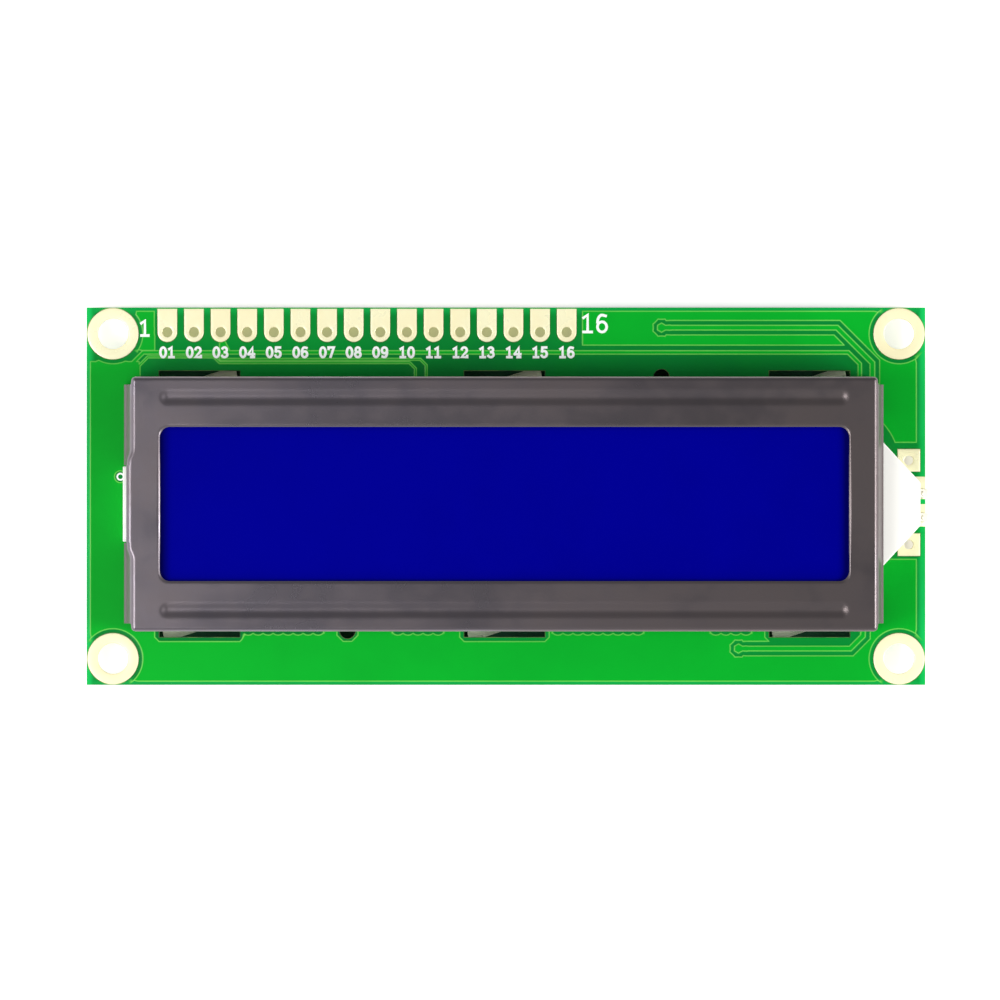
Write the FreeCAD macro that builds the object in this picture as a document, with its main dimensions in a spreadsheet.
"""Character LCD module, 16 characters by 2 lines, lying on its back with the window upwards.

The origin is the centre of the four mounting holes on the board's rear face. +X runs along the board from
pin 1, +Y runs towards the header row and +Z out of the window. Sizes are in millimetres.
"""
import FreeCAD, Part
import math
import os
import Sketcher

doc = FreeCAD.newDocument("character_lcd_module")
Vector = FreeCAD.Vector
UP = Vector(0, 0, 1)

# Driving sizes

SIZES = [
    # Board
    ("board_length", 80.0, "laminate along X"),
    ("board_width", 36.0, "laminate along Y"),
    ("board_thick", 1.6, "laminate"),
    ("hole_inset", 2.5, "board edges to the middle of a mounting hole"),
    ("mount_hole", 3.0, "finished mounting hole"),
    ("mount_land", 5.0, "plated ring round a mounting hole"),
    ("plating", 0.05, "land set back from its hole"),
    ("copper", 0.035, "etched copper"),
    ("mask", 0.025, "solder mask over the copper"),
    ("mask_gap", 0.05, "mask opening round a land"),
    # Header row
    ("pin_count", 16, "holes in the header row"),
    ("pin_pitch", 2.54, "header pitch"),
    ("pin_hole", 1.02, "finished header hole"),
    ("pin_land", 1.97, "width of a header land"),
    ("pin_inset_x", 7.69, "left board edge to the first pin"),
    ("pin_inset_y", 2.35, "top board edge to the pin row"),
    ("land_edge", 0.12, "header land to the board edge"),
    # Slots and small holes
    ("tab_inset", 6.35, "end of the bezel to the middle of its last tab"),
    ("slot_length", 7.7, "slot for a bezel tab"),
    ("slot_inner_gap", 0.1, "slot inside the bezel wall"),
    ("slot_outer_gap", 0.6, "slot outside the bezel wall"),
    ("locate_hole", 1.5, "hole half under the bezel wall"),
    ("locate_offset", 14.98, "that hole from the bezel centre"),
    ("via_land", 0.78, "ring of a via"),
    # Bezel
    ("frame_shift_x", -0.14, "bezel centre from the board centre"),
    ("frame_shift_y", -0.74, "bezel centre from the board centre"),
    ("frame_inset", 4.55, "board end to the bezel's front face, before its shift"),
    ("frame_width", 24.2, "bezel front face along Y"),
    ("frame_height", 7.0, "bezel above the mask"),
    ("sheet_metal", 0.5, "bezel steel"),
    ("bend_radius", 0.65, "outside of the bezel bends"),
    ("flap_flare", 0.6, "how far the end flaps splay out"),
    ("relief_x", 0.7, "corner relief along X"),
    ("relief_y", 0.75, "corner relief along Y"),
    ("corner_clip", 0.45, "cut-off corner of the front face"),
    ("bar_end", 2.45, "steel between window and bezel end"),
    ("bar_side", 4.7, "steel between window and bezel side"),
    ("window_corner", 0.95, "window corner radius"),
    ("bead_inset", 1.8, "bezel side to the middle of a stamped bead"),
    ("bead_end", 2.65, "bezel end to the end of a stamped bead"),
    ("bead_width", 1.15, "stamped bead at the front face"),
    ("bead_depth", 0.3, "stamped bead below the front face"),
    ("tab_width", 7.1, "bezel tab"),
    ("tab_drop", 1.9, "bezel tab below the rear mask"),
    ("tab_twist", 18.0, "twist of a bezel tab, degrees"),
    ("tab_root", 0.6, "bezel tab above the board"),
    ("lip_reach", 0.38, "lip over the left boss"),
    ("lip_width", 8.7, "cut-out of the left flap"),
    # Liquid-crystal cell
    ("glass_gap_x", 0.25, "bezel wall to the glass, at the ends"),
    ("glass_gap_y", 0.3, "bezel wall to the front glass, at the sides"),
    ("rear_glass_step", 0.05, "rear glass inside the backlight case"),
    ("glass_thick", 1.1, "each glass"),
    ("polarizer", 0.2, "each polarizer film"),
    ("film_step_x", 0.5, "front polarizer inside the glass end"),
    ("film_over", 0.3, "front polarizer past the rear glass side"),
    ("seal_length", 4.0, "bead of sealant on the cell's fill port"),
    ("seal_reach", 0.3, "that bead proud of the glass edge"),
    # Connectors between glass and board
    ("strip_gap", 0.2, "backlight case to a rubber connector"),
    ("strip_step", 0.25, "rubber connector inside the front glass side"),
    ("strip_end", 1.7, "rubber connector inside the glass end"),
    ("contact_count", 16, "board contacts under a connector"),
    ("contact_width", 2.2, "board contact along X"),
    # Backlight
    ("case_width", 17.9, "backlight case along Y"),
    ("case_wall", 0.65, "case wall"),
    ("case_floor", 0.4, "case floor"),
    ("reflector", 0.1, "reflector film"),
    ("diffuser", 0.2, "diffuser film"),
    ("fit", 0.1, "gap round what lies in the case"),
    ("nose_root", 16.0, "case nose where it leaves the case"),
    ("nose_tip", 4.1, "case nose at its tip"),
    ("nose_inset", 0.58, "right board edge to the nose tip"),
    ("nose_height", 4.0, "case nose above the mask"),
    ("nose_wall", 0.8, "case nose wall"),
    ("nose_clear", 0.4, "bezel cut-out over the nose"),
    ("boss_width", 7.2, "case boss at the left"),
    ("boss_reach", 1.62, "boss beyond the case"),
    ("boss_height", 3.2, "boss above the mask"),
    ("led_width", 4.4, "light source along Y"),
    ("led_depth", 1.5, "light source along X"),
    ("led_height", 2.4, "light source"),
    # Backlight pads and leads
    ("light_inset", 1.57, "right board edge to the square pads"),
    ("light_row_y", -0.6, "middle of the square pads"),
    ("light_pitch", 8.05, "square pads, centre to centre"),
    ("light_land", 2.15, "square pad"),
    ("light_hole", 0.9, "hole in a square pad"),
    ("edge_row_y", -0.51, "middle of the edge pads"),
    ("edge_pitch", 2.62, "edge pads, centre to centre"),
    ("edge_width", 2.14, "edge pad along Y"),
    ("edge_length", 2.4, "edge pad along X"),
    ("lead_row_y", -0.86, "middle of the leads"),
    ("lead_pitch", 2.29, "leads, centre to centre"),
    ("lead_width", 0.8, "lead"),
    ("lead_thick", 0.25, "lead"),
    ("lead_reach", 0.26, "lead beyond the board edge"),
    ("solder_width", 1.25, "solder over a lead"),
    ("solder_length", 0.5, "solder along a lead"),
    ("solder_height", 0.42, "solder over the pad"),
    # Etched copper of the front
    ("pour_inset", 0.35, "copper pour to the board edge"),
    ("pour_inset_right", 0.85, "front pour to the right board edge"),
    ("round_inset", 8.15, "right board edge to the middle of the round clearance"),
    ("round_y", 3.08, "middle of the round clearance beside the nose"),
    ("round_radius", 5.65, "round clearance beside the nose"),
    ("land_gap", 0.25, "pour to a plated ring"),
    ("slot_gap", 0.42, "pour to a slot"),
    ("channel", 0.46, "pour to a trace"),
    ("trace_wide", 0.34, "wide trace"),
    ("trace_fine", 0.2, "fine trace"),
    ("trace_led", 0.46, "trace that feeds the backlight"),
    ("side_pour_drop", 5.15, "board edge to the top of the side pours"),
    ("under_frame", 0.6, "pour under the bezel edge"),
    ("bus_drop", 4.28, "board edge to the long trace under the header"),
    ("bus_left_inset", 4.3, "left board edge to its left end"),
    ("bus_right_inset", 6.25, "right board edge to its right end"),
    ("bus_cut", 1.1, "its cut corners"),
    ("fine_drop", 4.71, "board edge to the fine trace beside the long one"),
    ("fine_low_drop", 5.26, "board edge to its lower run"),
    ("fine_left_inset", 5.0, "left board edge to its left end"),
    ("fine_run", 18.59, "third header hole to its right end"),
    ("fine_cut", 0.56, "cut corners of the fine traces"),
    ("fine_first_cut", 0.84, "cut corner at the left of the stepped trace"),
    ("fine_step", 0.635, "step of that trace, left of the third land"),
    ("link_drop", 4.94, "board edge to the fine trace from the third land"),
    ("link_run", 19.62, "third header hole to its right end"),
    ("feed_drop", 1.92, "board edge to the backlight trace beside the header"),
    ("feed_start_inset", 25.16, "right board edge to its via"),
    ("feed_turn_inset", 8.42, "right board edge to where it turns down"),
    ("feed_down_inset", 5.05, "right board edge to its run down to the bezel"),
    ("return_rise", 3.47, "board edge to the backlight trace of the lower right"),
    ("return_start_inset", 17.82, "right board edge to its via"),
    ("return_down_inset", 5.95, "right board edge to its run up to the bezel"),
    ("via_gap", 0.42, "pour to a via"),
    ("top_pour_gap", 1.51, "last header hole to the top right pour"),
    ("top_pour_drop", 3.59, "board edge to its lower edge"),
    ("corner_pour_width", 1.75, "small pour at the top left"),
    ("corner_pour_drop", 4.1, "board edge to its lower edge"),
    ("break_top", 5.14, "gap in the right pour, top"),
    ("break_low", -6.01, "gap in the right pour, bottom"),
    ("row_pitch", 0.954, "vias in a row under the bezel"),
    ("row_drop", 0.11, "via row below the bezel wall"),
    ("row_clear", 0.53, "clearance round a via of a row"),
    ("row_1", -24.6, "first via of the left row"),
    ("row_2", -10.3, "first via of the second row"),
    ("row_3", 4.96, "first via of the third row"),
    ("row_4", 20.03, "first via of the right row"),
    ("row_1_count", 8, "vias in the left row"),
    ("row_2_count", 5, "vias in the second row"),
    ("row_3_count", 9, "vias in the third row"),
    ("row_4_count", 4, "vias in the right row"),
    # Rear
    ("controller_x", -13.5, "controller drop"),
    ("controller_radius", 8.2, "controller drop"),
    ("driver_x", 17.5, "segment driver drop"),
    ("driver_radius", 7.2, "segment driver drop"),
    ("drop_y", -1.2, "both drops"),
    ("drop_height", 1.5, "both drops"),
    ("drop_shoulder", 0.86, "radius of a drop's shoulder, as a share of its foot"),
    ("drop_crown", 0.42, "radius of a drop's flat crown, as a share of its foot"),
    ("shoulder_height", 0.62, "height of that shoulder, as a share of the drop's"),
    ("chip_length", 2.0, "surface resistor"),
    ("chip_width", 1.25, "surface resistor"),
    ("chip_height", 0.55, "surface resistor"),
    ("capacitor_height", 1.2, "surface capacitor"),
    ("chip_solder", 0.45, "solder at a chip's end"),
    ("rear_trace", 0.22, "rear trace"),
    ("rear_pitch", 0.62, "rear traces side by side"),
    ("rear_links", 9, "traces between the two drops"),
    ("rear_band", 6.0, "rear pour at the board ends"),
    ("rear_strip", 1.6, "rear pour along the lower edge"),
    ("controller_pins", 14, "header holes that lead to the controller"),
    ("fan_spread", 64.0, "half angle of a fan of traces, degrees"),
    ("fan_gap", 1.2, "a fan turns this far outside its drop"),
    ("fan_stagger", 0.6, "outer traces of a fan turn earlier"),
    ("fan_depth", 0.82, "share of the drop's radius that a trace reaches"),
]

# What follows from them

PLACES = [
    ("seat", "sizes.board_thick + sizes.copper + sizes.mask"),
    ("rear_seat", "-sizes.copper - sizes.mask"),
    ("board_left", "-sizes.board_length / 2"),
    ("board_right", "sizes.board_length / 2"),
    ("hole_span_x", "sizes.board_length - 2 * sizes.hole_inset"),
    ("hole_span_y", "sizes.board_width - 2 * sizes.hole_inset"),
    ("frame_length", "sizes.board_length - 2 * sizes.frame_inset"),
    ("window_length", "places.frame_length - 2 * sizes.bar_end"),
    ("window_width", "sizes.frame_width - 2 * sizes.bar_side"),
    ("bead_length", "places.frame_length - 2 * sizes.bead_end"),
    ("bead_offset", "sizes.frame_width / 2 - sizes.bead_inset"),
    ("tab_pitch", "places.frame_length / 2 - sizes.tab_inset"),
    ("glass_length", "places.frame_length - 2 * sizes.sheet_metal - 2 * sizes.glass_gap_x"),
    ("front_glass_width", "sizes.frame_width - 2 * sizes.sheet_metal - 2 * sizes.glass_gap_y"),
    ("rear_glass_width", "sizes.case_width - 2 * sizes.rear_glass_step"),
    ("strip_length", "places.glass_length - 2 * sizes.strip_end"),
    ("strip_inside", "sizes.case_width / 2 + sizes.strip_gap"),
    ("strip_outside", "places.front_glass_width / 2 - sizes.strip_step"),
    ("strip_width", "places.strip_outside - places.strip_inside"),
    ("strip_offset", "(places.strip_outside + places.strip_inside) / 2"),
    ("frame_top", "places.seat + sizes.frame_height"),
    ("frame_left", "sizes.frame_shift_x - places.frame_length / 2"),
    ("frame_right", "sizes.frame_shift_x + places.frame_length / 2"),
    ("frame_upper", "sizes.frame_shift_y + sizes.frame_width / 2"),
    ("frame_lower", "sizes.frame_shift_y - sizes.frame_width / 2"),
    ("glass_top", "places.frame_top - sizes.sheet_metal - sizes.bead_depth"),
    ("front_glass_low", "places.glass_top - sizes.glass_thick"),
    ("rear_glass_low", "places.front_glass_low - sizes.glass_thick"),
    ("rear_film_low", "places.rear_glass_low - sizes.polarizer"),
    ("diffuser_low", "places.rear_film_low - sizes.diffuser"),
    ("reflector_low", "places.seat + sizes.case_floor"),
    ("guide_low", "places.reflector_low + sizes.reflector"),
    ("guide_thick", "places.diffuser_low - places.guide_low"),
    ("pocket_length", "places.glass_length - 2 * sizes.case_wall"),
    ("pocket_width", "sizes.case_width - 2 * sizes.case_wall"),
    ("sheet_length", "places.pocket_length - 2 * sizes.fit"),
    ("sheet_width", "places.pocket_width - 2 * sizes.fit"),
    ("case_right", "sizes.frame_shift_x + places.glass_length / 2"),
    ("case_left", "sizes.frame_shift_x - places.glass_length / 2"),
    ("nose_x", "sizes.board_length / 2 - sizes.nose_inset"),
    ("pin_x", "sizes.pin_inset_x - sizes.board_length / 2"),
    ("pin_y", "sizes.board_width / 2 - sizes.pin_inset_y"),
    ("pin_span", "(sizes.pin_count - 1) * sizes.pin_pitch"),
    ("last_pin_x", "places.pin_x + places.pin_span"),
    ("slot_width", "sizes.sheet_metal + sizes.slot_inner_gap + sizes.slot_outer_gap"),
    ("slot_offset", "sizes.frame_width / 2 - sizes.sheet_metal - sizes.slot_inner_gap + places.slot_width / 2"),
    ("light_x", "sizes.board_length / 2 - sizes.light_inset"),
    ("row_y", "places.frame_lower - sizes.row_drop"),
]

sheet = doc.addObject("Spreadsheet::Sheet", "sizes")
for row, (alias, number, meaning) in enumerate(SIZES, start=1):
    sheet.set(f"A{row}", meaning)
    sheet.set(f"B{row}", str(number))
    sheet.setAlias(f"B{row}", alias)
doc.recompute()

places = doc.addObject("App::VarSet", "places")
for name, formula in PLACES:
    places.addProperty("App::PropertyFloat", name)
for name, formula in PLACES:
    places.setExpression(name, formula)
doc.recompute()


def size(alias):
    """A driving size, for the shapes that are worked out in code."""
    return float(sheet.get(alias))


def place(name):
    """A size or place that follows from the driving ones."""
    return getattr(places, name)


# Ways of making a piece

def bind(thing, formulas):
    for prop, formula in formulas.items():
        thing.setExpression(prop, str(formula))
    return thing


def plate(label, length, width, thick, x, y, low):
    """A flat piece: its sizes, its centre and its underside."""
    return bind(doc.addObject("Part::Box", label), {
        "Length": length,
        "Width": width,
        "Height": thick,
        "Placement.Base.x": f"{x} - ({length}) / 2",
        "Placement.Base.y": f"{y} - ({width}) / 2",
        "Placement.Base.z": low,
    })


def from_right(inset):
    """A place along X, by its distance from the right board edge."""
    return place("board_right") - size(inset)


def from_top(drop):
    """A place along Y, by its distance from the board edge beside the header."""
    return size("board_width") / 2 - size(drop)


def shaped(label, shape):
    """A piece whose shape is worked out in code from the same sizes."""
    piece = doc.addObject("Part::Feature", label)
    piece.Shape = shape
    return piece


def new_body(label):
    return doc.addObject("PartDesign::Body", label)


def origin_part(body, role):
    return next(part for part in body.Origin.OriginFeatures if part.Role == role)


def sketch_on(body, name, plane="XY_Plane", level="0", x="0", y="0", turn="0"):
    sketch = body.newObject("Sketcher::SketchObject", name)
    sketch.AttachmentSupport = [(origin_part(body, plane), "")]
    sketch.MapMode = "FlatFace"
    return bind(sketch, {
        "AttachmentOffset.Base.x": x,
        "AttachmentOffset.Base.y": y,
        "AttachmentOffset.Base.z": level,
        "AttachmentOffset.Rotation.Angle": turn,
    })


def datum(sketch, kind, where, formula):
    """A named size on the sketch, bound to a formula."""
    start = 1.0
    number = sketch.addConstraint(Sketcher.Constraint(kind, *where, start))
    name = f"d{number}"
    sketch.renameConstraint(number, name)
    sketch.setExpression(f"Constraints.{name}", str(formula))


def outline(sketch, corners):
    """A closed outline of straight lines, given by a start for each corner."""
    first = sketch.GeometryCount
    points = [Vector(x, y, 0) for x, y in corners]
    for start, end in zip(points, points[1:] + points[:1]):
        sketch.addGeometry(Part.LineSegment(start, end))
    count = len(points)
    for side in range(count):
        sketch.addConstraint(Sketcher.Constraint("Coincident", first + side, 2, first + (side + 1) % count, 1))
    return first


def rectangle(sketch, length, width, x="0", y="0"):
    """A rectangle by its sides and its centre."""
    first = outline(sketch, [(-1, -1), (1, -1), (1, 1), (-1, 1)])
    for side, kind in enumerate(["Horizontal", "Vertical", "Horizontal", "Vertical"]):
        sketch.addConstraint(Sketcher.Constraint(kind, first + side))
    datum(sketch, "DistanceX", (-1, 1, first, 1), f"{x} - ({length}) / 2")
    datum(sketch, "DistanceY", (-1, 1, first, 1), f"{y} - ({width}) / 2")
    datum(sketch, "DistanceX", (first, 1, first, 2), length)
    datum(sketch, "DistanceY", (first + 1, 1, first + 1, 2), width)


def polygon(sketch, corners):
    """A closed outline whose corners are pairs of formulas."""
    around = [(math.cos(step * math.tau / len(corners)), math.sin(step * math.tau / len(corners)))
              for step in range(len(corners))]
    first = outline(sketch, around)
    for side, (x, y) in enumerate(corners):
        datum(sketch, "DistanceX", (-1, 1, first + side, 1), x)
        datum(sketch, "DistanceY", (-1, 1, first + side, 1), y)


def many_sided(x, y, diameter, sides):
    """Corners for a hole with straight sides that touch the circle of the given diameter."""
    half_step = 180 / sides
    turns = [half_step + step * 2 * half_step for step in range(sides)]
    reach = f"{diameter} / 2 / cos({half_step})"
    return [(f"{x} + {reach} * cos({turn})", f"{y} + {reach} * sin({turn})") for turn in turns]


def circle(sketch, diameter, x, y):
    number = sketch.addGeometry(Part.Circle(Vector(0, 0, 0), UP, 1))
    datum(sketch, "Diameter", (number,), diameter)
    datum(sketch, "DistanceX", (-1, 1, number, 3), x)
    datum(sketch, "DistanceY", (-1, 1, number, 3), y)


def pad(body, name, sketch, length, symmetric=False, reversed_way=False):
    feature = body.newObject("PartDesign::Pad", name)
    feature.Profile = sketch
    feature.SideType = "Symmetric" if symmetric else "One side"
    feature.Reversed = reversed_way
    return bind(feature, {"Length": length})


def pocket(body, name, sketch, depth=None):
    """Cuts along +Z from the sketch: to a depth, or right through."""
    feature = body.newObject("PartDesign::Pocket", name)
    feature.Profile = sketch
    feature.Reversed = True
    if depth is None:
        feature.Type = "ThroughAll"
        return feature
    return bind(feature, {"Length": depth})


def repeat(body, name, feature, count, span):
    """Copies of a feature in a row along X."""
    pattern = body.newObject("PartDesign::LinearPattern", name)
    pattern.Originals = [feature]
    pattern.Direction = (origin_part(body, "X_Axis"), [""])
    bind(pattern, {"Length": span, "Occurrences": count})
    body.Tip = pattern
    return pattern


def fillet_edges(body, name, base, radius, wanted):
    """Rounds those edges of the last feature that the test picks."""
    doc.recompute()
    feature = body.newObject("PartDesign::Fillet", name)
    names = [f"Edge{number}" for number, edge in enumerate(base.Shape.Edges, start=1) if wanted(edge)]
    feature.Base = (base, names)
    return bind(feature, {"Radius": radius})


SIGNS = (1, -1)
PAST = 1.0          # how far a cut runs on past the piece
FLANK = math.radians(45)    # slope of a bead's flanks
CORNERS = [(x, y) for x in SIGNS for y in SIGNS]
ROUND_SIDES = 12    # what repeats, such as lands, header holes and vias, has few sides
HOLE_SIDES = 8
VIA_SIDES = 6
LAND_SIDES = 4      # the half disc of a header land


# Board

def circuit_board():
    body = new_body("circuit_board")
    blank = sketch_on(body, "board_outline")
    rectangle(blank, "sizes.board_length", "sizes.board_width")
    pad(body, "laminate", blank, "sizes.board_thick")

    mounting = sketch_on(body, "mounting_drill")
    for sign_x, sign_y in CORNERS:
        circle(mounting, "sizes.mount_hole",
               f"{sign_x} * places.hole_span_x / 2", f"{sign_y} * places.hole_span_y / 2")
    pocket(body, "mounting_holes", mounting)

    slots = sketch_on(body, "slot_outline")
    for step in (-1, 0, 1):
        for sign in SIGNS:
            rectangle(slots, "sizes.slot_length", "places.slot_width",
                      f"sizes.frame_shift_x + {step} * places.tab_pitch",
                      f"sizes.frame_shift_y + {sign} * places.slot_offset")
    pocket(body, "tab_slots", slots)

    small = sketch_on(body, "small_drill")
    for sign in SIGNS:
        circle(small, "sizes.locate_hole", f"sizes.frame_shift_x + {sign} * sizes.locate_offset",
               f"sizes.frame_shift_y + {sign} * sizes.frame_width / 2")
        polygon(small, many_sided("places.light_x", f"sizes.light_row_y + {sign} * sizes.light_pitch / 2",
                                  "sizes.light_hole", HOLE_SIDES))
    circle(small, "sizes.pin_hole", "places.pin_x", "places.pin_y")
    circle(small, "sizes.pin_hole", "places.last_pin_x", "places.pin_y")
    pocket(body, "small_holes", small)

    pins = sketch_on(body, "pin_drill")
    polygon(pins, many_sided("places.pin_x + sizes.pin_pitch", "places.pin_y", "sizes.pin_hole", HOLE_SIDES))
    second = pocket(body, "second_pin_hole", pins)
    repeat(body, "pin_holes", second, "sizes.pin_count - 2", "places.pin_span - 2 * sizes.pin_pitch")
    return body


def prism(points, low, height):
    """A flat piece with straight sides through the points."""
    ring = [Vector(x, y, low) for x, y in points]
    return Part.Face(Part.makePolygon(ring + ring[:1])).extrude(Vector(0, 0, height))


def arc_points(x, y, radius, start, end, sides):
    """Points along an arc, from one angle to another in degrees, both ends counted."""
    angles = [math.radians(start + (end - start) * step / sides) for step in range(sides + 1)]
    return [(x + radius * math.cos(angle), y + radius * math.sin(angle)) for angle in angles]


def disc(x, y, radius, low, height, sides=HOLE_SIDES):
    """A small round area of a thin layer, with a few straight sides that touch the circle."""
    half_step = 180 / sides
    reach = radius / math.cos(math.radians(half_step))
    return prism(arc_points(x, y, reach, half_step, 360 - half_step, sides - 1), low, height)


def block(x_low, x_high, y_low, y_high, low, height):
    return Part.makeBox(x_high - x_low, y_high - y_low, height, Vector(x_low, y_low, low))


def land_levels(front):
    """The underside and the thickness of a land, which is flush with the mask beside it."""
    build = size("copper") + size("mask")
    return (size("board_thick"), build) if front else (-build, build)


def mask_levels(front):
    """The underside and the thickness of the mask, which lies on the copper."""
    low = size("board_thick") + size("copper") if front else place("rear_seat")
    return low, size("mask")


def pin_centres():
    row = range(int(size("pin_count")))
    return [(place("pin_x") + number * size("pin_pitch"), place("pin_y")) for number in row]


def mount_centres():
    return [(x * place("hole_span_x") / 2, y * place("hole_span_y") / 2) for x, y in CORNERS]


def slot_centres():
    x, y = size("frame_shift_x"), size("frame_shift_y")
    return [(x + step * place("tab_pitch"), y + sign * place("slot_offset"))
            for step in (-1, 0, 1) for sign in SIGNS]


def locate_centres():
    return [(size("frame_shift_x") + sign * size("locate_offset"),
             size("frame_shift_y") + sign * size("frame_width") / 2) for sign in SIGNS]


def light_centres():
    return [(place("light_x"), size("light_row_y") + sign * size("light_pitch") / 2) for sign in SIGNS]


def pin_land(x, y, grow, low, height):
    """A header land: a half disc about the hole that runs straight on to the board edge."""
    half = size("pin_land") / 2 + grow
    edge = size("board_width") / 2 - size("land_edge")
    arc = arc_points(x, y, half, 180, 360, LAND_SIDES)
    return prism(arc + [(x + half, edge), (x - half, edge)], low, height)


def ring_land(x, y, grow, low, height):
    """The ring of a mounting hole, cut off where the board ends."""
    ring = disc(x, y, size("mount_land") / 2 + grow, low, height, ROUND_SIDES)
    half_x = size("board_length") / 2
    half_y = size("board_width") / 2
    return ring.common(block(-half_x, half_x, -half_y, half_y, low, height))


def square_land(x, y, grow, low, height):
    half = size("light_land") / 2 + grow
    return block(x - half, x + half, y - half, y + half, low, height)


def edge_lands(grow, low, height):
    """The two pads at the board edge that carry the leads."""
    right = size("board_length") / 2
    half = size("edge_width") / 2 + grow
    middles = [size("edge_row_y") + sign * size("edge_pitch") / 2 for sign in SIGNS]
    return [block(right - size("edge_length") - grow, right, y - half, y + half, low, height) for y in middles]


def lands(label, centres, hole, land, sides, more=()):
    """Tinned lands about a row of holes, on both faces of the board."""
    solids = []
    for front in (True, False):
        low, height = land_levels(front)
        for x, y in centres:
            bore = disc(x, y, hole / 2 + size("plating"), low, height, sides)
            solids.append(land(x, y, 0, low, height).cut(bore))
    return shaped(label, Part.Compound(solids + list(more)))


def tinned_lands():
    return [
        lands("header_pads", pin_centres(), size("pin_hole"), pin_land, HOLE_SIDES),
        lands("mounting_pads", mount_centres(), size("mount_hole"), ring_land, ROUND_SIDES),
        lands("backlight_pads", light_centres(), size("light_hole"), square_land, HOLE_SIDES,
              edge_lands(0, *land_levels(True))),
    ]


# Etched copper and its mask

def track(points, width, low, height):
    """A trace: its centre line widened by half its width, with mitred corners."""
    line = [Vector(x, y, 0) for x, y in points]
    runs = [(end - start).normalize() for start, end in zip(line, line[1:])]
    sides = []
    for number, point in enumerate(line):
        before, after = runs[max(number - 1, 0)], runs[min(number, len(runs) - 1)]
        across = UP.cross(before + after).normalize()
        sides.append((point, across * (width / 2 / across.dot(UP.cross(after)))))
    ring = [point + side for point, side in sides] + [point - side for point, side in reversed(sides)]
    return prism([(point.x, point.y) for point in ring], low, height)


def bus_route():
    """The long trace under the header: down at both ends with cut corners."""
    left, right = place("board_left") + size("bus_left_inset"), from_right("bus_right_inset")
    level, cut = from_top("bus_drop"), size("bus_cut")
    hidden = place("frame_upper") - size("under_frame")
    return [(left, hidden), (left, level - cut), (left + cut, level), (right - cut, level),
            (right, level - cut), (right, hidden)]


def feed_via():
    return from_right("feed_start_inset"), from_top("feed_drop")


def return_via():
    return from_right("return_start_inset"), -from_top("return_rise")


def feed_route():
    """The backlight trace from its via, along the header and down the right end."""
    turn, down, level = from_right("feed_turn_inset"), from_right("feed_down_inset"), from_top("feed_drop")
    hidden = place("frame_upper") - size("under_frame")
    return [feed_via(), (turn, level), (down, level - (down - turn)), (down, hidden)]


def return_route():
    """The backlight trace from its via, along the lower edge and up under the bezel."""
    rise = size("row_drop") + size("bus_cut")
    hidden = place("frame_lower") + size("under_frame")
    down, level = from_right("return_down_inset"), -from_top("return_rise")
    return [return_via(), (down - rise, level), (down, level + rise), (down, hidden)]


def fine_routes():
    """The two fine traces between the header and the bezel: one stepped, one from the third land."""
    third = pin_centres()[2][0]
    cut = size("fine_cut")
    hidden = place("frame_upper") - size("under_frame")
    upper, lower, link = from_top("fine_drop"), from_top("fine_low_drop"), from_top("link_drop")
    left = place("board_left") + size("fine_left_inset")
    right, link_right = third + size("fine_run"), third + size("link_run")
    first_cut = size("fine_first_cut")
    step = third - size("fine_step")
    stepped = [(left, hidden), (left, upper - first_cut), (left + first_cut, upper), (step, upper),
               (step + cut, lower), (right - cut, lower), (right, lower - cut), (right, hidden)]
    linked = [(third, place("pin_y")), (third, link), (link_right - cut, link),
              (link_right, link - cut), (link_right, hidden)]
    return [stepped, linked]


def teardrop(low, height):
    """The wedge of copper that joins the third land to the long trace."""
    x, level = pin_centres()[2][0], from_top("bus_drop")
    return prism([(x, place("pin_y")), (x, level), (x + size("pin_land") / 2, level)], low, height)


def row_vias():
    """Centres of the via rows half under the lower bezel wall, row by row between the slots."""
    return [(size(f"row_{row}") + number * size("row_pitch"), place("row_y"))
            for row in (1, 2, 3, 4) for number in range(int(size(f"row_{row}_count")))]


def slot_clearances(low, height):
    """What the pour leaves free round the slots: a long octagon each."""
    half_x = size("slot_length") / 2 + size("slot_gap")
    half_y = place("slot_width") / 2 + size("slot_gap")
    clip = size("slot_gap")
    corner = [(half_x - clip, half_y), (half_x, half_y - clip)]
    ring = corner + [(x, -y) for x, y in reversed(corner)] + [(-x, -y) for x, y in corner]
    ring += [(-x, y) for x, y in reversed(corner)]
    return [prism([(middle_x + x, middle_y + y) for x, y in ring], low, height)
            for middle_x, middle_y in slot_centres()]


def keep_clear(low, height):
    """What both copper layers leave free: lands, drilled holes and slots."""
    cuts = [disc(x, y, size("mount_land") / 2 + size("land_gap"), low, height, ROUND_SIDES)
            for x, y in mount_centres()]
    cuts += [square_land(x, y, size("land_gap"), low, height) for x, y in light_centres()]
    cuts += [pin_land(x, y, size("land_gap"), low, height) for x, y in pin_centres()]
    cuts += [disc(x, y, size("locate_hole") / 2 + size("land_gap"), low, height) for x, y in locate_centres()]
    return cuts + slot_clearances(low, height)


def taken(low, height):
    """Where lands, holes and slots are, which the traces end at."""
    clear = size("locate_hole") / 2 + size("land_gap")
    cuts = [pin_land(x, y, 0, low, height) for x, y in pin_centres()]
    cuts += [ring_land(x, y, 0, low, height) for x, y in mount_centres()]
    cuts += [disc(x, y, clear, low, height) for x, y in locate_centres()]
    return cuts + slot_clearances(low, height)


def vias():
    return [feed_via(), return_via()]


def via_lands(low, height):
    """The rings of the vias, on either face."""
    return [disc(x, y, size("via_land") / 2, low, height, VIA_SIDES) for x, y in vias() + row_vias()]


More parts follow.
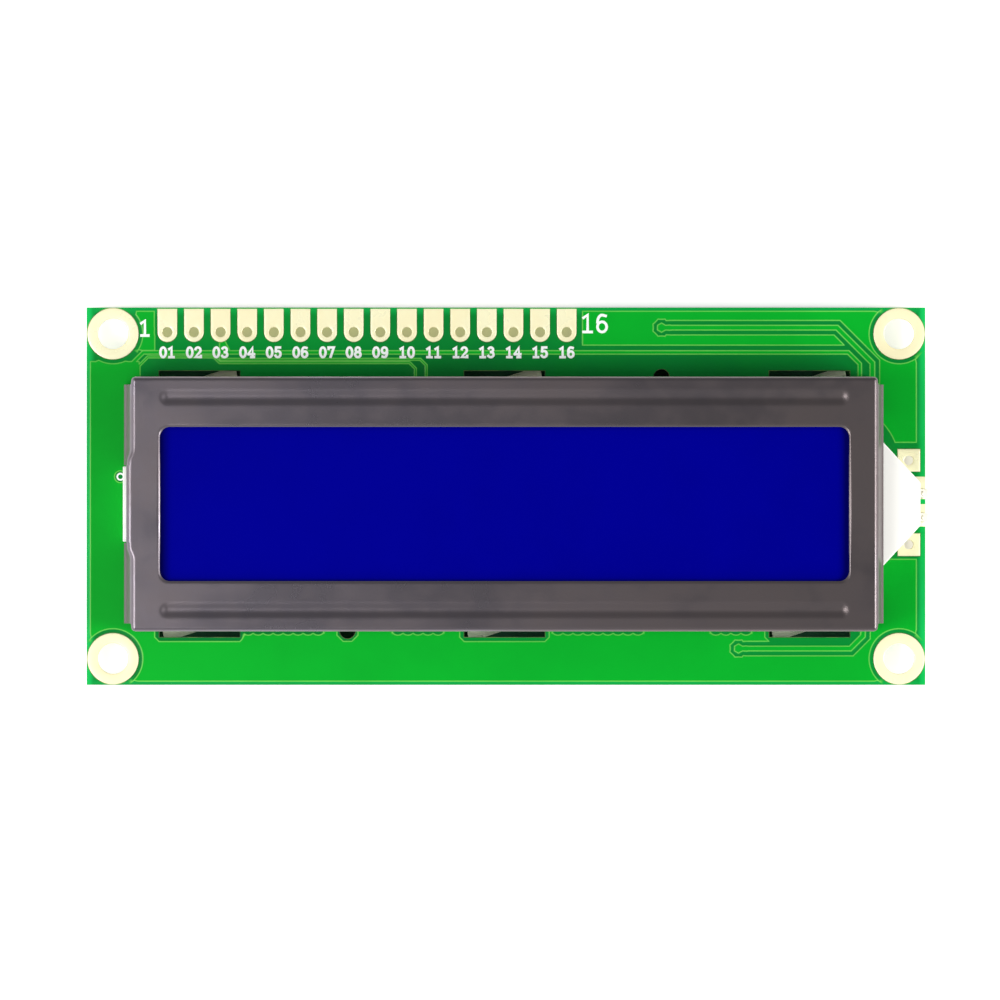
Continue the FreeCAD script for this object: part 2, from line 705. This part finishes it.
def front_pours(low, height):
    """The filled areas of the front, before traces and holes are cut out of them."""
    left = place("board_left") + size("pour_inset")
    right = from_right("pour_inset_right")
    top = from_top("pour_inset")
    in_left = place("frame_left") + size("under_frame")
    in_right = place("frame_right") - size("under_frame")
    in_low = place("frame_lower") + size("under_frame")
    side_top = from_top("side_pour_drop")
    edge = from_right("feed_down_inset") - size("trace_led") - size("channel")
    top_start = place("last_pin_x") + size("top_pour_gap")
    corner = -place("hole_span_x") / 2 + size("mount_land") / 2 - size("land_gap")
    return [
        block(left, in_left, -top, side_top, low, height),
        block(left, right, -top, in_low, low, height),
        block(in_right, right, size("break_top"), side_top, low, height),
        block(in_right, right, in_low, size("break_low"), low, height),
        block(top_start, right, from_top("top_pour_drop"), top, low, height),
        block(edge, right, side_top, top, low, height),
        block(corner, corner + size("corner_pour_width"), from_top("corner_pour_drop"), top, low, height),
    ]


def contact_rows(low, height):
    """The contacts on the board under the rubber connectors."""
    count = int(size("contact_count"))
    pitch = place("strip_length") / count
    half = size("contact_width") / 2
    deep = place("strip_width") / 2
    rows = []
    for sign in SIGNS:
        y = size("frame_shift_y") + sign * place("strip_offset")
        for number in range(count):
            x = size("frame_shift_x") + (number - (count - 1) / 2) * pitch
            rows.append(block(x - half, x + half, y - deep, y + deep, low, height))
    return rows


def strip_openings(low, height):
    """The bands of bare board that the rubber connectors stand in."""
    half_x = place("strip_length") / 2 + size("mask_gap")
    half_y = place("strip_width") / 2 + size("mask_gap")
    openings = []
    for sign in SIGNS:
        x, y = size("frame_shift_x"), size("frame_shift_y") + sign * place("strip_offset")
        openings.append(block(x - half_x, x + half_x, y - half_y, y + half_y, low, height))
    return openings


def joined(solids):
    first, *rest = solids
    return first.fuse(rest).removeSplitter() if rest else first


def front_copper():
    low, height = size("board_thick"), size("copper")
    routes = [(bus_route(), "trace_wide"), (feed_route(), "trace_led"), (return_route(), "trace_led")]
    fine = [(route, "trace_fine") for route in fine_routes()]
    cuts = keep_clear(low, height) + edge_lands(size("land_gap"), low, height) + strip_openings(low, height)
    cuts += [track(route, size(width) + 2 * size("channel"), low, height) for route, width in routes[1:]]
    cuts += [disc(x, y, size("via_land") / 2 + size("via_gap"), low, height) for x, y in vias()]
    cuts += [disc(x, y, size("row_clear"), low, height, VIA_SIDES) for x, y in row_vias()]
    cuts.append(disc(from_right("round_inset"), size("round_y"), size("round_radius"), low, height,
                     2 * ROUND_SIDES))
    pours = joined(front_pours(low, height)).cut(cuts)
    lines = [track(route, size(width), low, height) for route, width in routes + fine]
    lines += via_lands(low, height) + [teardrop(low, height)]
    return shaped("front_copper", pours.fuse(lines).cut(taken(low, height)).removeSplitter())


def contact_pads():
    return shaped("contact_pads", Part.Compound(contact_rows(size("board_thick"), size("copper"))))


def mask_sheet(label, front, more=()):
    """The mask over the copper of one face: the board outline less the lands, holes and slots."""
    low, height = mask_levels(front)
    half_x, half_y = size("board_length") / 2, size("board_width") / 2
    grow = size("mask_gap")
    cuts = [pin_land(x, y, grow, low, height) for x, y in pin_centres()]
    cuts += [disc(x, y, size("mount_land") / 2 + grow, low, height, ROUND_SIDES) for x, y in mount_centres()]
    cuts += [square_land(x, y, grow, low, height) for x, y in light_centres()]
    cuts += [disc(x, y, size("locate_hole") / 2 + grow, low, height) for x, y in locate_centres()]
    long, wide = size("slot_length") / 2 + grow, place("slot_width") / 2 + grow
    cuts += [block(x - long, x + long, y - wide, y + wide, low, height) for x, y in slot_centres()]
    return shaped(label, block(-half_x, half_x, -half_y, half_y, low, height).cut(cuts + list(more)))


# Bezel

def bezel_shell(body):
    """The stamped shell: a block with splayed ends and an upright foot, rounded over, hollowed and cut."""
    half = "places.frame_length / 2"
    base = f"{half} + sizes.flap_flare"
    knee = "sizes.nose_height + sizes.nose_clear"
    section = sketch_on(body, "shell_section", "XZ_Plane")
    top = "sizes.frame_height"
    polygon(section, [(base, "0"), (base, knee), (half, top), (f"-({half})", top),
                      (f"-({base})", knee), (f"-({base})", "0")])
    block_feature = pad(body, "shell_block", section, "sizes.frame_width", symmetric=True)
    level = size("frame_height")
    fillet_edges(body, "shell_bends", block_feature, "sizes.bend_radius",
                 lambda edge: all(abs(v.Point.z - level) < 0.01 for v in edge.Vertexes))
    inside = sketch_on(body, "shell_inside", "XZ_Plane")
    ceiling = "sizes.frame_height - sizes.sheet_metal"
    in_half, in_base = f"{half} - sizes.sheet_metal", f"{base} - sizes.sheet_metal"
    polygon(inside, [(in_base, "0"), (in_base, knee), (in_half, ceiling), (f"-({in_half})", ceiling),
                     (f"-({in_base})", knee), (f"-({in_base})", "0")])
    hollow = pocket(body, "shell_hollow", inside, "sizes.frame_width - 2 * sizes.sheet_metal")
    hollow.SideType = "Symmetric"

    relief = sketch_on(body, "relief_outline")
    reach = f"sizes.flap_flare + {PAST}"
    deep = "sizes.relief_y"
    for sign_x, sign_y in CORNERS:
        rectangle(relief, f"sizes.relief_x + {reach}", f"{deep} + {PAST}",
                  f"{sign_x} * (places.frame_length / 2 + ({reach} - sizes.relief_x) / 2)",
                  f"{sign_y} * (sizes.frame_width / 2 + ({PAST} - {deep}) / 2)")
    pocket(body, "corner_relief", relief, "sizes.frame_height - sizes.sheet_metal")

    clip = sketch_on(body, "clip_outline")
    for sign_x, sign_y in CORNERS:
        out_x = f"{sign_x} * (places.frame_length / 2 + {PAST})"
        out_y = f"{sign_y} * (sizes.frame_width / 2 + {PAST})"
        polygon(clip, [(out_x, out_y),
                       (f"{sign_x} * (places.frame_length / 2 - sizes.corner_clip - {PAST})", out_y),
                       (out_x, f"{sign_y} * (sizes.frame_width / 2 - sizes.corner_clip - {PAST})")])
    pocket(body, "corner_clips", clip)


def bezel_openings(body):
    """The window, the cut-outs over the backlight case, and the lip over its left boss."""
    window = sketch_on(body, "window_outline")
    rectangle(window, "places.window_length", "places.window_width")
    opened = pocket(body, "window", window)
    half_x, half_y = place("window_length") / 2, place("window_width") / 2

    def window_corner(edge):
        start, end = edge.firstVertex().Point, edge.lastVertex().Point
        upright = abs(start.x - end.x) + abs(start.y - end.y) < 0.01
        return upright and abs(abs(start.x) - half_x) + abs(abs(start.y) - half_y) < 0.01

    fillet_edges(body, "window_corners", opened, "sizes.window_corner", window_corner)

    flap = f"sizes.bend_radius + sizes.flap_flare + {PAST}"
    left = sketch_on(body, "boss_cut_outline")
    rectangle(left, flap, "sizes.lip_width", f"-places.frame_length / 2 + sizes.bend_radius - ({flap}) / 2")
    pocket(body, "boss_cut", left)
    lip = sketch_on(body, "lip_outline", level="sizes.frame_height - sizes.sheet_metal")
    rectangle(lip, "2 * sizes.bend_radius + sizes.lip_reach", "sizes.lip_width",
              "-places.frame_length / 2 + sizes.bend_radius - sizes.lip_reach / 2")
    pad(body, "lip", lip, "sizes.sheet_metal")
    right = sketch_on(body, "nose_cut_outline")
    rectangle(right, flap, "sizes.nose_root + 2 * sizes.nose_clear",
              f"places.frame_length / 2 - sizes.bend_radius + ({flap}) / 2")
    pocket(body, "nose_cut", right, "sizes.nose_height + sizes.nose_clear")


def bezel_tabs(body):
    """Six tabs through the board, twisted below it the same way round."""
    rear = "-(places.seat - places.rear_seat)"
    levels = [("sizes.tab_root", "0"), (f"{rear} - sizes.mask", "0"),
              (f"{rear} - sizes.tab_drop", "sizes.tab_twist")]
    sketches = []
    for number, (level, turn) in enumerate(levels):
        sketch = sketch_on(body, f"tab_section_{number}", level=level, x="-places.tab_pitch",
                           y="sizes.frame_width / 2 - sizes.sheet_metal / 2", turn=turn)
        rectangle(sketch, "sizes.tab_width", "sizes.sheet_metal")
        sketches.append(sketch)
    loft = body.newObject("PartDesign::AdditiveLoft", "first_tab")
    loft.Profile = sketches[0]
    loft.Sections = sketches[1:]
    loft.Ruled = True
    doc.recompute()
    rows = body.newObject("PartDesign::MultiTransform", "tabs")
    rows.Originals = [loft]
    along = body.newObject("PartDesign::LinearPattern", "tab_row")
    along.Direction = (origin_part(body, "X_Axis"), [""])
    bind(along, {"Length": "2 * places.tab_pitch"})
    along.Occurrences = 3
    across = body.newObject("PartDesign::PolarPattern", "tab_rows")
    across.Axis = (origin_part(body, "Z_Axis"), [""])
    across.Angle = 360
    across.Occurrences = 2
    rows.Transformations = [along, across]
    body.Tip = rows


def bead_solids(name, width, high, low):
    """Two long stadiums, one along each stamped bead, that narrow at 45 degrees from high to low."""
    def ring(across, level, middle):
        half_x, half_y = place("bead_length") / 2 - size("bead_width") / 2, across / 2
        x, y = size("frame_shift_x"), size("frame_shift_y") + middle
        right, left = Vector(x + half_x, y, level), Vector(x - half_x, y, level)
        side, reach = Vector(0, half_y, 0), Vector(half_y, 0, 0)
        return Part.Wire([
            Part.makeLine(left + side, right + side),
            Part.Arc(right + side, right + reach, right - side).toShape(),
            Part.makeLine(right - side, left - side),
            Part.Arc(left - side, left - reach, left + side).toShape(),
        ])

    narrow = width - 2 * (high - low)
    beads = []
    for sign in SIGNS:
        middle = sign * place("bead_offset")
        beads.append(Part.makeLoft([ring(width, high, middle), ring(narrow, low, middle)], True, True))
    return shaped(name, Part.Compound(beads))


def bezel():
    body = new_body("bezel_sheet")
    bezel_shell(body)
    bezel_openings(body)
    bezel_tabs(body)
    bind(body, {"Placement.Base.x": "sizes.frame_shift_x", "Placement.Base.y": "sizes.frame_shift_y",
                "Placement.Base.z": "places.seat"})
    top, steel, depth = place("frame_top"), size("sheet_metal"), size("bead_depth")
    bend = 2 * steel * math.tan(FLANK / 2)
    backs = bead_solids("bead_backs", size("bead_width") + bend + steel, top - steel / 2, top - steel - depth)
    whole = doc.addObject("Part::MultiFuse", "bezel_blank")
    whole.Shapes = [body, backs]
    pressed = doc.addObject("Part::Cut", "bezel")
    above = steel / 2
    pressed.Base, pressed.Tool = whole, bead_solids("bead_press", size("bead_width") + 2 * above,
                                                    top + above, top - depth)
    return pressed


# Liquid-crystal cell

def cell():
    x, y = "sizes.frame_shift_x", "sizes.frame_shift_y"
    seal_x = f"{x} - places.glass_length / 2 - sizes.seal_reach / 2"
    return [
        plate("front_polarizer", "places.glass_length - 2 * sizes.film_step_x",
              "places.rear_glass_width + 2 * sizes.film_over", "sizes.polarizer", x, y, "places.glass_top"),
        plate("front_glass", "places.glass_length", "places.front_glass_width", "sizes.glass_thick",
              x, y, "places.front_glass_low"),
        plate("rear_glass", "places.glass_length", "places.rear_glass_width", "sizes.glass_thick",
              x, y, "places.rear_glass_low"),
        plate("rear_polarizer", "places.sheet_length", "places.sheet_width", "sizes.polarizer",
              x, y, "places.rear_film_low"),
        plate("end_seal", "sizes.seal_reach", "sizes.seal_length", "sizes.glass_thick",
              seal_x, y, "places.front_glass_low - sizes.glass_thick / 2"),
    ]


def connectors():
    strips = []
    low = "sizes.board_thick + sizes.copper"
    for name, sign in (("zebra_strip_top", 1), ("zebra_strip_bottom", -1)):
        strips.append(plate(name, "places.strip_length", "places.strip_width",
                            f"places.front_glass_low - ({low})", "sizes.frame_shift_x",
                            f"sizes.frame_shift_y + {sign} * places.strip_offset", low))
    return strips


# Backlight

def backlight_case():
    """The moulded tray with its boss at the left and its nose at the right, hollow for the light source."""
    body = new_body("backlight_case")
    tray = sketch_on(body, "tray_outline")
    rectangle(tray, "places.glass_length", "sizes.case_width", "sizes.frame_shift_x", "sizes.frame_shift_y")
    pad(body, "tray", tray, "places.rear_glass_low - places.seat")
    nose = sketch_on(body, "nose_outline")
    root, tip = "places.case_right - sizes.case_wall", "places.nose_x"
    half_root, half_tip = "sizes.nose_root / 2", "sizes.nose_tip / 2"
    middle = "sizes.frame_shift_y"
    polygon(nose, [(tip, f"{middle} + {half_tip}"), (root, f"{middle} + {half_root}"),
                   (root, f"{middle} - {half_root}"), (tip, f"{middle} - {half_tip}")])
    pad(body, "nose", nose, "sizes.nose_height")
    boss = sketch_on(body, "boss_outline")
    rectangle(boss, "sizes.boss_reach + sizes.case_wall", "sizes.boss_width",
              "places.case_left + (sizes.case_wall - sizes.boss_reach) / 2", "sizes.frame_shift_y")
    pad(body, "boss", boss, "sizes.boss_height")

    room = sketch_on(body, "tray_room", level="sizes.case_floor")
    rectangle(room, "places.pocket_length", "places.pocket_width", "sizes.frame_shift_x", "sizes.frame_shift_y")
    pocket(body, "tray_pocket", room)
    lamp = sketch_on(body, "lamp_room")
    start = "places.case_right - 2 * sizes.case_wall"
    run = f"places.nose_x - sizes.nose_wall - ({start})"
    rectangle(lamp, run, "sizes.led_width + 4 * sizes.fit", f"{start} + ({run}) / 2", "sizes.frame_shift_y")
    pocket(body, "lamp_pocket", lamp, "sizes.nose_height - sizes.nose_wall")
    gates = sketch_on(body, "lead_gates")
    for sign in SIGNS:
        rectangle(gates, f"2 * sizes.nose_wall + {PAST}", "sizes.lead_width + 2 * sizes.fit",
                  "places.nose_x", f"sizes.lead_row_y + {sign} * sizes.lead_pitch / 2")
    pocket(body, "lead_gate_cuts", gates, "sizes.lead_thick + sizes.fit")
    return bind(body, {"Placement.Base.z": "places.seat"})


def backlight_inside():
    x, y = "sizes.frame_shift_x", "sizes.frame_shift_y"
    gap = "places.case_right - sizes.case_wall + sizes.fit + sizes.led_depth / 2"
    return [
        plate("reflector_sheet", "places.sheet_length", "places.sheet_width", "sizes.reflector",
              x, y, "places.reflector_low"),
        plate("light_guide", "places.sheet_length", "places.sheet_width", "places.guide_thick",
              x, y, "places.guide_low"),
        plate("diffuser_sheet", "places.sheet_length", "places.sheet_width", "sizes.diffuser",
              x, y, "places.diffuser_low"),
        plate("backlight_led", "sizes.led_depth", "sizes.led_width", "sizes.led_height",
              gap, y, "places.seat + sizes.lead_thick"),
    ]


def leads():
    """The two flat leads from under the light source, out through the nose and over the edge pads."""
    start = "places.case_right - sizes.case_wall + sizes.fit"
    run = f"sizes.board_length / 2 + sizes.lead_reach - ({start})"
    return [plate(name, run, "sizes.lead_width", "sizes.lead_thick", f"{start} + ({run}) / 2",
                  f"sizes.lead_row_y + {sign} * sizes.lead_pitch / 2", "places.seat")
            for name, sign in (("lead_upper", 1), ("lead_lower", -1))]


def lead_solder():
    """A drop of solder over each lead where it crosses its pad: a block drawn in towards its top."""
    drops = []
    half_x, half_y = size("solder_length") / 2, size("solder_width") / 2
    x = size("board_length") / 2 - half_x - size("plating")
    low, lead = place("seat"), size("lead_width") / 2
    for sign in SIGNS:
        y = size("lead_row_y") + sign * size("lead_pitch") / 2
        foot = prism_ring(x, y, half_x, half_y, low)
        crown = prism_ring(x, y, half_x / 2, lead, low + size("solder_height"))
        under = block(x - half_x, x + half_x, y - lead, y + lead, low, size("lead_thick"))
        drops.append(Part.makeLoft([foot, crown], True, True).cut(under))
    return shaped("lead_solder", Part.Compound(drops))


def prism_ring(x, y, half_x, half_y, level):
    """A rectangle as a closed wire."""
    corners = [Vector(x + i * half_x, y + j * half_y, level) for i, j in ((-1, -1), (1, -1), (1, 1), (-1, 1))]
    return Part.makePolygon(corners + corners[:1])


# Rear

def fan(starts, middle_x, radius, side):
    """Traces that run straight from a row of starts and then turn to the edge of a drop."""
    routes = []
    rim = size("fan_depth") * radius
    level = size("drop_y") + side * (radius + size("fan_gap"))
    for number, (x, y) in enumerate(starts):
        share = 2 * number / (len(starts) - 1) - 1
        angle = math.radians(share * size("fan_spread"))
        end = (middle_x + rim * math.sin(angle), size("drop_y") + side * rim * math.cos(angle))
        routes.append([(x, y), (x, level + side * abs(share) * size("fan_stagger")), end])
    return routes


def rear_routes():
    """Fans from the header and the via rows to the two drops, and straight links between the drops."""
    pins = pin_centres()[:int(size("controller_pins"))]
    rows = row_vias()
    half = len(rows) // 2
    controller = (size("controller_x"), size("controller_radius"))
    driver = (size("driver_x"), size("driver_radius"))
    routes = fan(pins, *controller, 1)
    routes += fan(rows[:half], *controller, -1) + fan(rows[half:], *driver, -1)
    left = controller[0] + size("fan_depth") * controller[1]
    right = driver[0] - size("fan_depth") * driver[1]
    count = int(size("rear_links"))
    for number in range(count):
        y = size("drop_y") + (number - (count - 1) / 2) * size("rear_pitch")
        routes.append([(left, y), (right, y)])
    return routes


def rear_copper():
    low, height = -size("copper"), size("copper")
    cuts = keep_clear(low, height) + [disc(x, y, size("via_land") / 2 + size("via_gap"), low, height)
                                      for x, y in vias()]
    right, top = from_right("pour_inset"), from_top("pour_inset")
    band, strip = size("rear_band"), size("rear_strip")
    frames = [block(-right, band - right, -top, top, low, height),
              block(right - band, right, -top, top, low, height),
              block(-right, right, -top, strip - top, low, height)]
    pours = joined(frames).cut(cuts)
    lines = [track(route, size("rear_trace"), low, height) for route in rear_routes()]
    lines += via_lands(low, height)
    return shaped("rear_copper", pours.fuse(lines).cut(taken(low, height)).removeSplitter())


def drop(label, x, radius):
    """A drop of black resin over a bare chip: a turned low dome of two flanks round a flat crown."""
    low, tall = place("rear_seat"), size("drop_height")
    profile = [(0, 0), (radius, 0), (size("drop_shoulder") * radius, size("shoulder_height") * tall),
               (size("drop_crown") * radius, tall), (0, tall)]
    points = [Vector(across, 0, low - down) for across, down in profile]
    dome = Part.Face(Part.makePolygon(points + points[:1])).revolve(Vector(0, 0, 0), UP, 360)
    dome.translate(Vector(x, size("drop_y"), 0))
    return shaped(label, dome)


CHIPS = [
    # name, x and its distance, y and its distance, turned a quarter
    ("resistor_1", "board_left", 7.0, "frame_upper", -3.36, True),
    ("resistor_2", "board_left", 10.0, "frame_upper", -3.36, True),
    ("resistor_3", "board_left", 13.0, "frame_upper", -3.36, True),
    ("resistor_4", "last_pin_x", 4.21, "pin_y", -3.35, False),
    ("resistor_5", "last_pin_x", 8.81, "pin_y", -1.75, False),
    ("resistor_6", "board_right", -9.5, "frame_upper", -2.36, True),
    ("capacitor_1", "board_left", 15.6, "frame_lower", 4.64, False),
    ("capacitor_2", "last_pin_x", -2.79, "frame_upper", -1.76, False),
]


def rear_chips():
    """Surface parts of the rear, and the solder at their ends."""
    pieces, fillets = [], []
    for name, beside, across, under, along, turned in CHIPS:
        height = "sizes.capacitor_height" if name.startswith("capacitor") else "sizes.chip_height"
        sides = ["sizes.chip_length", "sizes.chip_width"]
        if turned:
            sides.reverse()
        pieces.append(plate(name, *sides, height, f"places.{beside} + {across}", f"places.{under} + {along}",
                            f"places.rear_seat - {height}"))
        for end in SIGNS:
            fillets.append(chip_fillet(place(beside) + across, place(under) + along, end, turned))
    pieces.append(shaped("rear_solder", Part.Compound(fillets)))
    return pieces


def chip_fillet(x, y, end, turned):
    """A wedge of solder from the board up a chip's end."""
    reach, half = size("chip_solder"), size("chip_width") / 2
    start = size("chip_length") / 2
    low = place("rear_seat")
    corners = [Vector(start, -half, low), Vector(start + reach, -half, low),
               Vector(start, -half, low - reach)]
    wedge = Part.Face(Part.makePolygon(corners + corners[:1])).extrude(Vector(0, 2 * half, 0))
    angle = (90 if turned else 0) + (0 if end > 0 else 180)
    wedge.rotate(Vector(0, 0, 0), UP, angle)
    wedge.translate(Vector(x, y, 0))
    return wedge


# Building and writing

def build():
    pieces = [circuit_board(), *tinned_lands(), contact_pads(), front_copper(), rear_copper()]
    low, height = mask_levels(True)
    front_open = edge_lands(size("mask_gap"), low, height) + strip_openings(low, height)
    pieces += [mask_sheet("solder_mask_front", True, front_open), mask_sheet("solder_mask_rear", False)]
    pieces += [bezel(), *cell(), *connectors()]
    pieces += [backlight_case(), *backlight_inside(), *leads(), lead_solder()]
    pieces += [drop("controller_drop", size("controller_x"), size("controller_radius")),
               drop("driver_drop", size("driver_x"), size("driver_radius")), *rear_chips()]
    return pieces


def check(pieces):
    doc.recompute()
    failed = [thing.Label for thing in doc.Objects if {"Invalid", "Error"} & set(thing.State)]
    if failed:
        raise RuntimeError(f"these objects failed: {failed}")
    for piece in pieces:
        if piece.Shape.isNull() or not piece.Shape.isValid():
            raise RuntimeError(f"{piece.Label} has no sound shape")
        if not piece.Shape.Solids:
            raise RuntimeError(f"{piece.Label} holds no solid")


def write(pieces):
    os.makedirs("parts", exist_ok=True)
    for piece in pieces:
        piece.Shape.exportStep(f"parts/{piece.Label}.step")
        box = piece.Shape.BoundBox
        print(f"{piece.Label:20} solids {len(piece.Shape.Solids):3}  "
              f"x {box.XMin:7.2f} {box.XMax:7.2f}  y {box.YMin:7.2f} {box.YMax:7.2f}  "
              f"z {box.ZMin:6.2f} {box.ZMax:6.2f}")


made = build()
check(made)
write(made)
